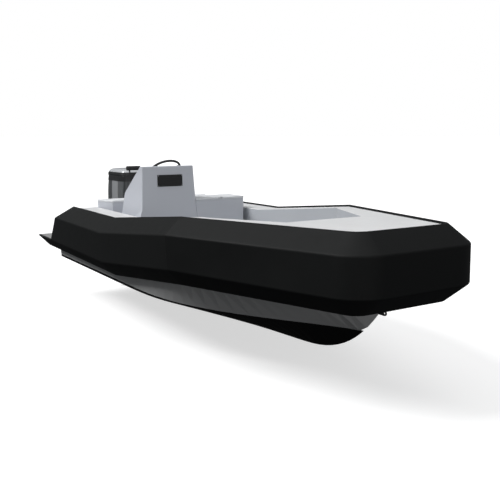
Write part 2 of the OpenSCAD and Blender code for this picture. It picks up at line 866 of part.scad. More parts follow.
// Two arms that hook over the transom board, with the tilt tube across them
module clamp_brackets() {
    front = transom_x + transom_t;
    low = transom_top - clamp_drop;
    color("#2b2d30") {
        for (side = [-1, 1])
            translate([0, side * (clamp_y + clamp_t / 2) + clamp_t / 2, 0]) rotate([90, 0, 0])
                linear_extrude(clamp_t) {
                    polygon([[transom_x, low], [transom_x - 34, low + 12],
                        [tilt_x - clamp_eye_r, tilt_z - clamp_eye_r], [tilt_x - clamp_eye_r, tilt_z],
                        [tilt_x + clamp_eye_r, tilt_z], [front + 24, transom_top + 28],
                        [front + hook_t, transom_top - hook_lap - 8], [front, transom_top - hook_lap],
                        [front, transom_top], [transom_x, transom_top]]);
                    translate([tilt_x, tilt_z]) circle(r = clamp_eye_r);
                }
        translate([tilt_x, clamp_y + clamp_t, tilt_z]) rotate([90, 0, 0])
            cylinder(r = tube_r, h = 2 * (clamp_y + clamp_t));
    }
}

// Sleeve on the tilt tube and the upright tube that the motor steers in
module swivel_bracket() {
    color("#2f3134") difference() {
        union() {
            translate([tilt_x, sleeve_half, tilt_z]) rotate([90, 0, 0])
                cylinder(r = sleeve_r, h = 2 * sleeve_half);
            translate([steer_x, 0, swivel_foot]) cylinder(r = swivel_r, h = swivel_top - swivel_foot);
            translate([steer_x, -arm_w / 2, tilt_z - arm_h / 2])
                cube([tilt_x - steer_x, arm_w, arm_h]);
            translate([steer_x, -web_w / 2, tilt_z - web_drop])
                cube([swivel_r + 4, web_w, web_drop - 10]);
        }
        translate([tilt_x, sleeve_half + 1, tilt_z]) rotate([90, 0, 0])
            cylinder(r = tube_r + run_fit, h = 2 * sleeve_half + 2);
        translate([steer_x, 0, swivel_foot - 1])
            cylinder(r = king_r + run_fit, h = swivel_top - swivel_foot + 2);
    }
}

yoke_t = 34;
yoke_r = 40;
yoke_w = 68;
// Gap between the yokes and the swivel tube, and how far the yokes reach into the leg
yoke_gap = 1;
yoke_bite = 6;
leg_front = drive_x + 34;

// King pin, with the yokes above and below the swivel tube
module steering_yokes() {
    color("#2a2c2f") {
        translate([steer_x, 0, swivel_foot - yoke_t])
            cylinder(r = king_r, h = swivel_top - swivel_foot + 2 * yoke_t);
        for (z = [swivel_foot - yoke_t - yoke_gap, swivel_top + yoke_gap]) {
            translate([steer_x, 0, z]) cylinder(r = yoke_r, h = yoke_t);
            translate([leg_front - yoke_bite, -yoke_w / 2, z])
                cube([steer_x - leg_front + yoke_bite, yoke_w, yoke_t]);
        }
    }
}

leg_steps = 20;

// Points of a pointed oval in plan: chord from nose to tail and a half-thickness
function foil(nose, tail, half, z) = [for (i = [0:leg_steps - 1])
    let (a = 360 * i / leg_steps)
    [(nose + tail) / 2 + (nose - tail) / 2 * cos(a), half * sin(a) * (0.85 + 0.15 * cos(a)), z]];

module midsection() {
    color("#26282a") loft([
        foil(leg_front, drive_x - 150, 62, plate_z + plate_t),
        foil(leg_front, drive_x - 140, 52, plate_z + 120),
        foil(leg_front, drive_x - 130, 58, plate_z + 300),
        foil(leg_front, drive_x - 140, 72, tray_z - 60),
        foil(leg_front, drive_x - 150, 96, tray_z)]);
}

tail_x = drive_x - 270;
plate_t = 8;

module anti_ventilation_plate() {
    color("#232527") translate([0, 0, plate_z]) linear_extrude(plate_t) polygon([
        [drive_x + 60, -20], [drive_x + 60, 20], [drive_x, 78], [drive_x - 150, 104],
        [tail_x - 20, 92], [tail_x - 20, -92], [drive_x - 150, -104], [drive_x, -78]]);
}

hub_front_x = drive_x - 168;
skeg_t = 10;
skeg_z = prop_z - gearcase_r - 70;

// Strut, torpedo and skeg
module gearcase() {
    color("#1f2123") {
        loft([
            foil(drive_x + 62, drive_x - 130, 26, prop_z),
            foil(drive_x + 52, drive_x - 140, 30, prop_z + 70),
            foil(drive_x + 46, drive_x - 150, 40, plate_z)]);
        translate([0, 0, prop_z]) rotate([0, -90, 0]) rotate_extrude($fn = 40) polygon([
            [0, -(drive_x + 118)], [20, -(drive_x + 104)], [36, -(drive_x + 72)],
            [gearcase_r, -(drive_x + 20)], [gearcase_r, -(drive_x - 100)],
            [prop_hub_r - 2, -hub_front_x],
            [0, -hub_front_x]]);
        translate([0, skeg_t / 2, 0]) rotate([90, 0, 0]) linear_extrude(skeg_t) polygon([
            [drive_x + 70, prop_z - 20], [drive_x - 150, prop_z - 20],
            [drive_x - 108, skeg_z], [drive_x - 60, skeg_z]]);
    }
}

shaft_r = 12;
prop_front_x = hub_front_x - 6;
prop_len = 84;

// The threaded end that stands out of the propeller
shaft_end = 24;

module prop_shaft() {
    color("#c6c8ca") translate([hub_front_x, 0, prop_z]) rotate([0, -90, 0])
        cylinder(r = shaft_r, h = prop_len + shaft_end);
}

blades = 3;
blade_pitch = 50;
blade_t = 6;
prop_hub_r = 40;

module propeller() {
    color("#1b1c1e") translate([prop_front_x, 0, prop_z]) rotate([0, -90, 0]) difference() {
        union() {
            cylinder(r = prop_hub_r, h = prop_len);
            for (i = [0:blades - 1]) rotate([0, 0, i * 360 / blades])
                translate([0, 0, prop_len / 2]) rotate([90 - blade_pitch, 0, 0])
                    translate([0, 0, -blade_t / 2]) linear_extrude(blade_t) polygon([
                        [prop_hub_r - 8, -34], [prop_r * 0.6, -54], [prop_r * 0.86, -44],
                        [prop_r * 0.94, -10], [prop_r * 0.9, 30], [prop_r * 0.7, 46],
                        [prop_hub_r - 8, 34]]);
        }
        translate([0, 0, -1]) cylinder(r = shaft_r + run_fit, h = prop_len + 2);
    }
}

tray_z = transom_top + 148;
tray_h = 44;
cowl_top = transom_top + cowl_up;
cap_h = 92;
cowl_steps = 44;

// Rounded rectangle in plan, as a superellipse, for the cowl's sections
function cowl_ring(fore, aft, half, z, power = 0.42) = [for (i = [0:cowl_steps - 1])
    let (a = 360 * i / cowl_steps, c = cos(a), s = sin(a))
    [steer_x + (fore - aft) / 2 + (fore + aft) / 2 * sign(c) * pow(abs(c), power),
     half * sign(s) * pow(abs(s), power), z]];

module cowl_tray() {
    color("#2a2c2e") loft([
        cowl_ring(cowl_fwd - 40, cowl_aft - 60, cowl_half_w - 40, tray_z),
        cowl_ring(cowl_fwd - 8, cowl_aft - 20, cowl_half_w - 8, tray_z + tray_h * 0.6),
        cowl_ring(cowl_fwd - 4, cowl_aft - 12, cowl_half_w - 4, tray_z + tray_h)]);
}

cap_z = cowl_top - cap_h;

module cowl_shell(grow, low, top) {
    loft([
        cowl_ring(cowl_fwd - 4 + grow, cowl_aft - 12 + grow, cowl_half_w - 4 + grow, low),
        cowl_ring(cowl_fwd + grow, cowl_aft + grow, cowl_half_w + grow, tray_z + tray_h + 120),
        cowl_ring(cowl_fwd - 14 + grow, cowl_aft - 4 + grow, cowl_half_w - 8 + grow, cap_z - 70),
        cowl_ring(cowl_fwd - 30 + grow, cowl_aft - 16 + grow, cowl_half_w - 22 + grow, top)]);
}

cowl_wall = 14;

module cowl() {
    color("#3a3c3e") difference() {
        cowl_shell(0, tray_z + tray_h, cap_z);
        cowl_shell(-cowl_wall, tray_z + tray_h - 1, cap_z - cowl_wall);
    }
}

module cowl_cap() {
    color("#b5b8bb") loft([
        cowl_ring(cowl_fwd - 26, cowl_aft - 10, cowl_half_w - 16, cap_z),
        cowl_ring(cowl_fwd - 34, cowl_aft - 12, cowl_half_w - 20, cap_z + cap_h * 0.55),
        cowl_ring(cowl_fwd - 70, cowl_aft - 30, cowl_half_w - 40, cap_z + cap_h * 0.88),
        cowl_ring(cowl_fwd - 110, cowl_aft - 60, cowl_half_w - 72, cowl_top)]);
}

// Space between the engine and the cowl: aft, forward, at the sides and above
engine_gaps = [90, 100, 50, 40];

// The engine itself, as one plain block
module powerhead() {
    low = tray_z + tray_h;
    color("#5a5c5e") translate([steer_x - cowl_aft + engine_gaps[0], engine_gaps[2] - cowl_half_w, low])
        cube([cowl_aft + cowl_fwd - engine_gaps[0] - engine_gaps[1],
            2 * (cowl_half_w - engine_gaps[2]), cap_z - low - engine_gaps[3]]);
}

hull_bottom();
hull_topsides();
deck_moulding();
cockpit_sole();
collar_starboard();
collar_port();
collar_bow();
stern_platform_starboard();
stern_platform_port();
platform_pad_starboard();
platform_pad_port();
transom_board();
bow_eye();
stern_eyes();
console_body();
console_foot();
dash_panel();
console_vent();
seat_locker();
seat_locker_lid();
aft_bench();
aft_bench_lid();
helm_column();
wheel_hub();
wheel_rim();
throttle_box();
throttle_lever();
clamp_brackets();
swivel_bracket();
steering_yokes();
midsection();
anti_ventilation_plate();
gearcase();
cowl_tray();
powerhead();
cowl();
cowl_cap();
prop_shaft();
propeller();
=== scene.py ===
# Foam-collared boat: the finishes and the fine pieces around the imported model.
# Metres, +X to the bow, +Y to port, and z = 0 at the waterline.
import json
from math import atan, cos, pi, radians, sin

import bmesh
import bpy
from mathutils import Matrix, Vector


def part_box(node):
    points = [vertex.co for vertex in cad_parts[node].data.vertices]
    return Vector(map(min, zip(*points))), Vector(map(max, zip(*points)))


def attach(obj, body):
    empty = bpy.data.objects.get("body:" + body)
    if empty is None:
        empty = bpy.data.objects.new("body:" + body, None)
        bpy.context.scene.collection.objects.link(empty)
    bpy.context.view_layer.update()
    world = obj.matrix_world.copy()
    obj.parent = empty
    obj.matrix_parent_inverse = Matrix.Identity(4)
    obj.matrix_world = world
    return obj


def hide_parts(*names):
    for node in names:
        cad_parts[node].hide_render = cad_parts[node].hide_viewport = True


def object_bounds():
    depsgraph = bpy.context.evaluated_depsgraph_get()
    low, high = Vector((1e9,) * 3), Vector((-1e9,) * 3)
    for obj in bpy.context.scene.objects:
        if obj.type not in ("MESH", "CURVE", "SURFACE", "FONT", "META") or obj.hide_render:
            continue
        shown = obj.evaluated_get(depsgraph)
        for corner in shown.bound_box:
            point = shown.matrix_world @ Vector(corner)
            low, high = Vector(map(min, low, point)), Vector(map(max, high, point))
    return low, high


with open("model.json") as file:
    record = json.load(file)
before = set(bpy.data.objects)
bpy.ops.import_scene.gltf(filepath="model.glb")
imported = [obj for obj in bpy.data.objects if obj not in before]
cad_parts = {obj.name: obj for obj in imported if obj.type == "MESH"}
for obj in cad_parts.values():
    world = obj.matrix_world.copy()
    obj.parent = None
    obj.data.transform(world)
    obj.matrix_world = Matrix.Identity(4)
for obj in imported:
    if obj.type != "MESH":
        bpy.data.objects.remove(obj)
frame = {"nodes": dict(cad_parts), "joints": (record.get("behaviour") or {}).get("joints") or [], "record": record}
cad_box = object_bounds()
MM = 0.001

SLIVER = 0.02 * MM  # Points of a CAD mesh that are closer than this are one
LEVEL = 0.9  # A face whose normal rises or falls by this share lies level
VISOR_CUT = ((-0.10, 0, 0), (-1, 0, 0))  # The dark band ends here, short of the motor's back

# The dash's slope: its foot amidships, and the ways up it and out of it
DASH_FOOT = Vector((1.4935, 0, 0.9699))
DASH_UP = Vector((0.8018, 0, 0.5976))
DASH_OUT = Vector((-0.5976, 0, 0.8018))


# ---- Camera, floor and light ----

def place_camera():
    """A 50 mm lens off the starboard bow, a little above the deck."""
    forward = Vector((-0.8339, 0.5275, -0.1621))
    right = Vector((0.5346, 0.8451, 0.0))
    up = Vector((-0.1370, 0.0867, 0.9867))
    roll = Matrix.Rotation(radians(-0.123), 4, "Z")
    place = (8.6652, -3.4946, 1.5706)
    data = bpy.data.cameras.new("camera")
    data.lens = 49.97
    data.sensor_width = 36.0
    camera = bpy.data.objects.new("camera", data)
    bpy.context.scene.collection.objects.link(camera)
    turn = Matrix((right, up, -forward)).transposed().to_4x4()
    camera.matrix_world = Matrix.Translation(place) @ turn @ roll
    bpy.context.scene.camera = camera


def add_sun(name, towards, strength, spread, shadows=True):
    """Soft light that travels one way everywhere. spread is how wide its source looks, in
    degrees."""
    data = bpy.data.lights.new(name, "SUN")
    data.energy = strength
    data.use_shadow = shadows
    data.angle = radians(spread)
    sun = bpy.data.objects.new(name, data)
    bpy.context.scene.collection.objects.link(sun)
    sun.rotation_euler = Vector(towards).to_track_quat("-Z", "Y").to_euler()


def light_studio():
    """A broad key from starboard, a soft top light, a fill on the bow, and a dim sky that shows
    as a white backdrop."""
    add_sun("key", (0.30, 0.62, -0.72), 3.1, 25)
    add_sun("overhead", (0.0, -0.05, -1.0), 1.0, 60)
    add_sun("bow_fill", (-1.0, 0.15, -0.25), 0.8, 60, shadows=False)
    world = bpy.data.worlds.new("studio")
    bpy.context.scene.world = world
    world.use_nodes = True
    tree = world.node_tree
    tree.nodes.clear()
    seen = add_node(tree, "ShaderNodeBackground", {"Color": (1, 1, 1, 1), "Strength": 1.0})
    height = add_node(tree, "ShaderNodeSeparateXYZ", {
        0: add_node(tree, "ShaderNodeTexCoord").outputs["Generated"]}).outputs["Z"]
    glow = add_node(tree, "ShaderNodeMapRange", {
        "Value": height, "From Min": -0.5, "From Max": 0.1, "To Min": 0.04, "To Max": 0.18})
    sky = add_node(tree, "ShaderNodeBackground", {
        "Color": (0.93, 0.96, 1, 1), "Strength": glow.outputs[0]})
    path = add_node(tree, "ShaderNodeLightPath")
    mix = add_node(tree, "ShaderNodeMixShader", {
        0: path.outputs["Is Camera Ray"], 1: sky.outputs[0], 2: seen.outputs[0]})
    add_node(tree, "ShaderNodeOutputWorld", {"Surface": mix.outputs[0]})
    bpy.context.scene.view_settings.view_transform = "Standard"


def lay_floor():
    """Pale floor just under the lowest point of the leg, out to the horizon."""
    reach, gap = 2000, 0.012
    bm = bmesh.new()
    bmesh.ops.create_grid(bm, x_segments=1, y_segments=1, size=reach)
    bmesh.ops.translate(bm, verts=bm.verts, vec=(0, 0, cad_box[0].z - gap))
    mesh = bpy.data.meshes.new("floor")
    bm.to_mesh(mesh)
    bm.free()
    floor = bpy.data.objects.new("floor", mesh)
    bpy.context.scene.collection.objects.link(floor)
    material, _, shader = new_finish("floor_paper", None)
    shader.inputs["Base Color"].default_value = srgb("#C4C4C4")
    shader.inputs["Roughness"].default_value = 1.0
    shader.inputs["Specular IOR Level"].default_value = 0.0
    shader.inputs["Emission Color"].default_value = (1, 1, 1, 1)
    shader.inputs["Emission Strength"].default_value = 0.62
    mesh.materials.append(material)
    floor.visible_diffuse = False
    floor.visible_glossy = False


# ---- Finishes ----

def srgb(code):
    """Linear colour of an sRGB hex code."""
    parts = [int(code[i:i + 2], 16) / 255 for i in (1, 3, 5)]
    linear = [c / 12.92 if c <= 0.04045 else ((c + 0.055) / 1.055) ** 2.4 for c in parts]
    return tuple(linear) + (1.0,)


def add_node(tree, kind, feeds=None, **settings):
    """Adds a node with its settings. A feed is a value, or an output to link."""
    node = tree.nodes.new(kind)
    for name, value in settings.items():
        setattr(node, name, value)
    for name, value in (feeds or {}).items():
        if isinstance(value, bpy.types.NodeSocket):
            tree.links.new(value, node.inputs[name])
        else:
            node.inputs[name].default_value = value
    return node


def new_finish(name, slot):
    """Empty material with a principled shader. slot is the record's slot that it stands for."""
    material = bpy.data.materials.new(name)
    material.use_nodes = True
    tree = material.node_tree
    tree.nodes.clear()
    shader = add_node(tree, "ShaderNodeBsdfPrincipled")
    add_node(tree, "ShaderNodeOutputMaterial", {"Surface": shader.outputs[0]})
    if slot:
        material["slot"] = slot
    return material, tree, shader


def per_metre(millimetres):
    """Noise scale whose spots are that wide."""
    return 1000.0 / millimetres


def coated(name, slot, tones, roughness, grain, relief, patch=900, **sockets):
    """Paint, gelcoat or moulding: two close tones in wide patches over a fine grain.
    roughness is (least, most). patch and grain are their spots' widths, and relief is the grain's
    height, in millimetres."""
    material, tree, shader = new_finish(name, slot)
    place = add_node(tree, "ShaderNodeTexCoord").outputs["Object"]
    wide = add_node(tree, "ShaderNodeTexNoise", {
        "Vector": place, "Scale": per_metre(patch), "Detail": 4.0, "Roughness": 0.55})
    tone = add_node(tree, "ShaderNodeMix", {
        "Factor": wide.outputs[0], "A": srgb(tones[0]), "B": srgb(tones[1])}, data_type="RGBA")
    smudge = add_node(tree, "ShaderNodeTexNoise", {
        "Vector": place, "Scale": per_metre(patch * 0.2), "Detail": 6.0, "Roughness": 0.65})
    gloss = add_node(tree, "ShaderNodeMapRange", {
        "Value": smudge.outputs[0], "From Min": 0.3, "From Max": 0.7,
        "To Min": roughness[0], "To Max": roughness[1]})
    fine = add_node(tree, "ShaderNodeTexNoise", {
        "Vector": place, "Scale": per_metre(grain), "Detail": 3.0, "Roughness": 0.6})
    bump = add_node(tree, "ShaderNodeBump", {
        "Strength": 1.0, "Distance": relief * MM, "Height": fine.outputs[0]})
    tree.links.new(tone.outputs["Result"], shader.inputs["Base Color"])
    tree.links.new(gloss.outputs[0], shader.inputs["Roughness"])
    tree.links.new(bump.outputs[0], shader.inputs["Normal"])
    for socket, value in sockets.items():
        shader.inputs[socket.replace("_", " ")].default_value = value
    return material


def collar_skin():
    """Rubberised polyester skin over closed-cell foam: dull black, its weave just showing through.
    The real threads are 0.5 mm apart, and they are drawn at 5 mm so that they can be seen."""
    material, tree, shader = new_finish("rubberised_skin", "collar_black")
    place = add_node(tree, "ShaderNodeTexCoord").outputs["Object"]
    threads = []
    for direction in ("X", "Z"):
        wave = add_node(tree, "ShaderNodeTexWave", {
            "Vector": place, "Scale": per_metre(5) / 6.3, "Distortion": 0.4, "Detail": 2.0},
            bands_direction=direction)
        threads.append(wave.outputs[1])
    weave = add_node(tree, "ShaderNodeMath", {0: threads[0], 1: threads[1]}, operation="MULTIPLY")
    sag = add_node(tree, "ShaderNodeTexNoise", {
        "Vector": place, "Scale": per_metre(350), "Detail": 2.0, "Roughness": 0.4})
    soft = add_node(tree, "ShaderNodeBump", {
        "Strength": 1.0, "Distance": 1.6 * MM, "Height": sag.outputs[0]})
    bump = add_node(tree, "ShaderNodeBump", {
        "Strength": 0.5, "Distance": 0.12 * MM, "Height": weave.outputs[0],
        "Normal": soft.outputs[0]})
    dust = add_node(tree, "ShaderNodeTexNoise", {
        "Vector": place, "Scale": per_metre(500), "Detail": 7.0, "Roughness": 0.62})
    tone = add_node(tree, "ShaderNodeMix", {
        "Factor": dust.outputs[0], "A": srgb("#0F1010"), "B": srgb("#141515")}, data_type="RGBA")
    dull = add_node(tree, "ShaderNodeMapRange", {
        "Value": dust.outputs[0], "From Min": 0.3, "From Max": 0.7, "To Min": 0.5, "To Max": 0.66})
    tree.links.new(tone.outputs["Result"], shader.inputs["Base Color"])
    tree.links.new(dull.outputs[0], shader.inputs["Roughness"])
    tree.links.new(bump.outputs[0], shader.inputs["Normal"])
    shader.inputs["Specular IOR Level"].default_value = 0.12
    return material


def foam_sheet(name, slot, tones, spacing):
    """Closed-cell EVA sheet with sawn grooves along the boat: soft, dull and a little pitted.
    spacing is the distance between the grooves, in millimetres. Of the tones, the third and
    darkest is painted shade in the grooves."""
    material, tree, shader = new_finish(name, slot)
    place = add_node(tree, "ShaderNodeTexCoord").outputs["Object"]
    across = add_node(tree, "ShaderNodeSeparateXYZ", {0: place}).outputs["Y"]
    strip = add_node(tree, "ShaderNodeMath", {0: across, 1: per_metre(spacing)},
                     operation="MULTIPLY")
    saw = add_node(tree, "ShaderNodeMath", {0: strip.outputs[0]}, operation="FRACT")
    groove = add_node(tree, "ShaderNodeMath", {0: saw.outputs[0], 1: 0.08}, operation="LESS_THAN")
    pits = add_node(tree, "ShaderNodeTexNoise", {
        "Vector": place, "Scale": per_metre(3), "Detail": 4.0, "Roughness": 0.7})
    tone = add_node(tree, "ShaderNodeMix", {
        "Factor": pits.outputs[0], "A": srgb(tones[0]), "B": srgb(tones[1])}, data_type="RGBA")
    # The grooves take the third, darker tone: painted shade
    groove_painted_shade = add_node(tree, "ShaderNodeMix", {
        "Factor": groove.outputs[0], "A": tone.outputs["Result"], "B": srgb(tones[2])},
        data_type="RGBA")
    height = add_node(tree, "ShaderNodeMath", {
        0: pits.outputs[0], 1: groove.outputs[0]}, operation="SUBTRACT")
    bump = add_node(tree, "ShaderNodeBump", {
        "Strength": 0.7, "Distance": 0.8 * MM, "Height": height.outputs[0]})
    tree.links.new(groove_painted_shade.outputs["Result"], shader.inputs["Base Color"])
    tree.links.new(bump.outputs[0], shader.inputs["Normal"])
    shader.inputs["Roughness"].default_value = 0.85
    shader.inputs["Specular IOR Level"].default_value = 0.25
    return material


def brushed_steel():
    """Marine stainless steel, brushed along its length: bright, with fine streaks."""
    material, tree, shader = new_finish("brushed_stainless", "stainless")
    place = add_node(tree, "ShaderNodeTexCoord").outputs["Object"]
    along = add_node(tree, "ShaderNodeMapping", {"Vector": place, "Scale": (0.05, 1, 1)})
    streaks = add_node(tree, "ShaderNodeTexNoise", {
        "Vector": along.outputs[0], "Scale": per_metre(1.5), "Detail": 3.0})
    gloss = add_node(tree, "ShaderNodeMapRange", {
        "Value": streaks.outputs[0], "To Min": 0.2, "To Max": 0.42})
    bump = add_node(tree, "ShaderNodeBump", {
        "Strength": 0.3, "Distance": 0.05 * MM, "Height": streaks.outputs[0]})
    tree.links.new(gloss.outputs[0], shader.inputs["Roughness"])
    tree.links.new(bump.outputs[0], shader.inputs["Normal"])
    shader.inputs["Base Color"].default_value = srgb("#C9CBCD")
    shader.inputs["Metallic"].default_value = 1.0
    return material


def grip_rubber():
    """Moulded polyurethane on the wheel and the throttle: black, soft and finely pebbled."""
    material, tree, shader = new_finish("pebbled_grip", "wheel_grip")
    place = add_node(tree, "ShaderNodeTexCoord").outputs["Object"]
    pebbles = add_node(tree, "ShaderNodeTexVoronoi", {"Vector": place, "Scale": per_metre(2.2)})
    bump = add_node(tree, "ShaderNodeBump", {
        "Strength": 0.6, "Distance": 0.35 * MM, "Height": pebbles.outputs[0]})
    tree.links.new(bump.outputs[0], shader.inputs["Normal"])
    shader.inputs["Base Color"].default_value = srgb("#1B1B1C")
    shader.inputs["Roughness"].default_value = 0.62
    return material


def make_finishes():
    """Every finish by the name it is used under. The first ones are the record's own slots."""
    return {
        # Moulded polyester gelcoat: glossy white with a faint orange-peel
        "gelcoat_white": coated("white_gelcoat", "gelcoat_white", ("#D6D6D6", "#CFD0D1"),
                                (0.3, 0.44), 9, 0.05, Specular_IOR_Level=0.2),
        # Welded aluminium plate under light grey two-pack paint: satin, slightly rolled
        "console_grey": coated("console_paint", "console_grey", ("#C6C9D0", "#BEC1C8"),
                               (0.36, 0.5), 5, 0.05),
        # The deck's gelcoat in a darker grey for the cockpit's walls, duller than the deck: the darker grey is
        # painted shade
        "cockpit_painted_shade": coated("cockpit_gelcoat_painted_shade", "gelcoat_white", ("#B3B6BA", "#ABAEB3"),
                               (0.4, 0.52), 9, 0.05),
        # The console's two-pack paint in off-white on the lids
        "lid_white": coated("lid_paint", "lid_white", ("#DDDFE1", "#D5D7DA"), (0.34, 0.48),
                            5, 0.05),
        # Grey two-pack paint on the hull's plates
        "hull_grey": coated("hull_paint", "hull_grey", ("#A8A8A8", "#A0A1A1"), (0.4, 0.55), 7, 0.08,
                            Specular_IOR_Level=0.3),
        # Black antifouling, brushed on: dead flat with faint brush texture
        "bottom_paint": coated("antifouling", "bottom_paint", ("#0B0B0B", "#080808"), (0.62, 0.8),
                               12, 0.25, Specular_IOR_Level=0.12),
        "collar_black": collar_skin(),
        # Each foam's third tone is painted shade in its grooves
        "sole_grey": foam_sheet("sole_foam", "sole_grey", ("#9C9FA1", "#92959A", "#6C6F72"), 45),
        "pad_grey": foam_sheet("pad_foam", "pad_grey", ("#8E8E8E", "#868686", "#5C5C5C"), 30),
        "stainless": brushed_steel(),
        # Steel dipped in black nylon: smooth and waxy
        "stainless_dark": coated("nylon_coated_steel", "stainless_dark", ("#161616", "#111112"),
                                 (0.38, 0.5), 2, 0.05),
        # Spark-textured ABS panels
        "panel_black": coated("textured_abs", "panel_black", ("#161718", "#121314"), (0.55, 0.68),
                              1.2, 0.12, patch=300),
        # Glass-filled nylon mouldings of the helm and the throttle
        "black_plastic": coated("moulded_nylon", "black_plastic", ("#1A1A1C", "#161617"),
                                (0.42, 0.55), 1.5, 0.06, patch=200),
        "wheel_grip": grip_rubber(),
        # Powder-coated cast brackets
        "motor_bracket": coated("powder_coat", "motor_bracket", ("#2C2E31", "#26282B"),
                                (0.45, 0.58), 1.5, 0.15, patch=250),
        # Dark enamel over cast aluminium on the leg
        "motor_dark": coated("leg_enamel", "motor_dark", ("#2A2C2E", "#242628"), (0.28, 0.4),
                             4, 0.04, patch=300, Coat_Weight=0.3),
        # Clear-coated dark grey cowl
        "motor_cowl": coated("cowl_lacquer", "motor_cowl", ("#3C3E40", "#393B3C"), (0.26, 0.32),
                             12, 0.006, patch=400, Coat_Weight=0.5),
        # Clear-coated light grey cap
        "motor_cap": coated("cap_lacquer", "motor_cap", ("#B2B4B7", "#AEB0B3"), (0.28, 0.34),
                            12, 0.006, patch=400, Coat_Weight=0.4),
        # Sand-cast aluminium block under the cowl
        "engine_block": coated("sand_casting", "engine_block", ("#5C5E60", "#505254"), (0.5, 0.7),
                               2.5, 0.4, patch=120, Metallic=0.8),
        # Black enamel on the cast aluminium propeller
        "prop_metal": coated("prop_enamel", "prop_metal", ("#1C1D1F", "#171819"), (0.3, 0.42),
                             3, 0.04, patch=150, Coat_Weight=0.25),
        # Lighter panels set into the cowl's sides
        "cowl_stripe": coated("stripe_lacquer", "motor_cap", ("#8C8E90", "#888A8C"), (0.28, 0.34),
                              12, 0.006, patch=300, Coat_Weight=0.3),
        "cowl_panel": coated("panel_lacquer", "motor_cowl", ("#5A5C5E", "#565859"), (0.28, 0.34),
                             12, 0.006, patch=300, Coat_Weight=0.3),
        # Bare zinc anodes: pale, blotched metal
        "zinc": coated("cast_zinc", "stainless", ("#8F9396", "#7D8184"), (0.45, 0.65), 3, 0.2,
                       patch=40, Metallic=0.9),
        # Screen behind clear acrylic: black and mirror-smooth
        "screen": coated("acrylic_screen", "panel_black", ("#0A0C10", "#08090C"), (0.05, 0.1),
                         20, 0.005, patch=100),
        # Matt white printed dials
        "dial_white": coated("printed_dial", "lid_white", ("#E8E8E4", "#E0E0DC"), (0.4, 0.5),
                             2, 0.01),
        # Screen-printed enamel on the dials' needles
        "needle_red": coated("needle_paint", "panel_black", ("#B4231C", "#A81F19"), (0.4, 0.5),
                             2, 0.01),
    }


# ---- Making pieces ----

def make_piece(name, bm, finish, body, sharp=40, replaces=(), normals=True, weighted=False):
    """Turns a bmesh into a finished piece that rides on a body.
    It shows smooth but for its edges of more than sharp degrees. normals points its faces outward,
    and weighted keeps the shading of its flat faces flat."""
    if normals:
        bmesh.ops.recalc_face_normals(bm, faces=bm.faces)
    for face in bm.faces:
        face.smooth = True
    for edge in bm.edges:
        edge.smooth = len(edge.link_faces) == 2 and edge.calc_face_angle(pi) < radians(sharp)
    mesh = bpy.data.meshes.new(name)
    bm.to_mesh(mesh)
    bm.free()
    material = finishes[finish]
    mesh.materials.append(material)
    piece = bpy.data.objects.new(name, mesh)
    bpy.context.scene.collection.objects.link(piece)
    if weighted:
        modifier = piece.modifiers.new("even_normals", "WEIGHTED_NORMAL")
        modifier.keep_sharp = True
    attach(piece, body)
    if replaces:
        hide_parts(*replaces)
    return piece


def cad_copy(node):
    """A CAD node's mesh, its loose triangles merged."""
    bm = bmesh.new()
    bm.from_mesh(frame["nodes"][node].data)
    bmesh.ops.remove_doubles(bm, verts=bm.verts, dist=SLIVER)
    return bm


def rounded(node, name, radius, body="hull", shortest=0.15, finish=None, flat=0.5, rim=False):
    """A CAD node's twin whose long sharp edges are rounded, as moulding or bending leaves them.
    shortest is the least length of an edge to round, and flat the angle in degrees below which
    faces are joined. With rim, the edges round its open top stay as they are, because its walls
    are thin there."""
    rim_depth = 0.020
    rim_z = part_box(node)[1].z - rim_depth
    bm = cad_copy(node)
    bmesh.ops.dissolve_limit(bm, angle_limit=radians(flat), verts=bm.verts, edges=bm.edges)
    corners = [e for e in bm.edges
               if len(e.link_faces) == 2 and e.calc_length() > shortest
               and not (rim and min(v.co.z for v in e.verts) > rim_z)
               and e.calc_face_angle(0) > radians(18)]
    bmesh.ops.bevel(bm, geom=corners, offset=radius, affect="EDGES", segments=3, profile=0.5,
                    material=-1)
    bmesh.ops.dissolve_degenerate(bm, dist=SLIVER, edges=bm.edges)
    return make_piece(name, bm, finish or slot_of[node], body, replaces=(node,), normals=False,
                      weighted=True)


def block(bm, size, place, bevel, turn=Matrix()):
    """Adds a box with softened edges: size and place are in metres, and turn is applied first."""
    made = bmesh.ops.create_cube(bm, size=1.0)["verts"]
    bmesh.ops.scale(bm, verts=made, vec=size)
    if bevel:
        edges = list({e for v in made for e in v.link_edges})
        result = bmesh.ops.bevel(bm, geom=edges, offset=bevel, affect="EDGES", segments=2,
                                 profile=0.5, material=-1)
        rounds = {v for f in result["faces"] for v in f.verts}
        made = list(rounds | {v for v in made if v.is_valid})
    bmesh.ops.transform(bm, verts=made, matrix=Matrix.Translation(place) @ turn.to_4x4())


def turned(bm, outline, seat, steps):
    """Adds a turned shape, in that many steps: outline lists (radius, height) along seat's Z."""
    made = [bm.verts.new((r, 0, z)) for r, z in outline]
    edges = [bm.edges.new(pair) for pair in zip(made, made[1:])]
    result = bmesh.ops.spin(bm, geom=made + edges, cent=(0, 0, 0), axis=(0, 0, 1), angle=2 * pi,
                            steps=steps, use_merge=True)
    near = set(made) | {g for g in result["geom_last"] if isinstance(g, bmesh.types.BMVert)}
    todo = list(near)
    while todo:
        for edge in todo.pop().link_edges:
            for vert in edge.verts:
                if vert not in near:
                    near.add(vert)
                    todo.append(vert)
    bmesh.ops.transform(bm, verts=list(near), matrix=seat)
    bmesh.ops.remove_doubles(bm, verts=list(near), dist=SLIVER / 2)


def facing(place, direction):
    """Matrix that stands a shape's Z along a direction at a place."""
    turn = Vector(direction).to_track_quat("Z", "Y").to_matrix().to_4x4()
    return Matrix.Translation(place) @ turn


def leaning(up, out):
    """Turn that lays a shape's X up a slope and its Z out of it."""
    return Matrix((up, (0, 1, 0), out)).transposed()


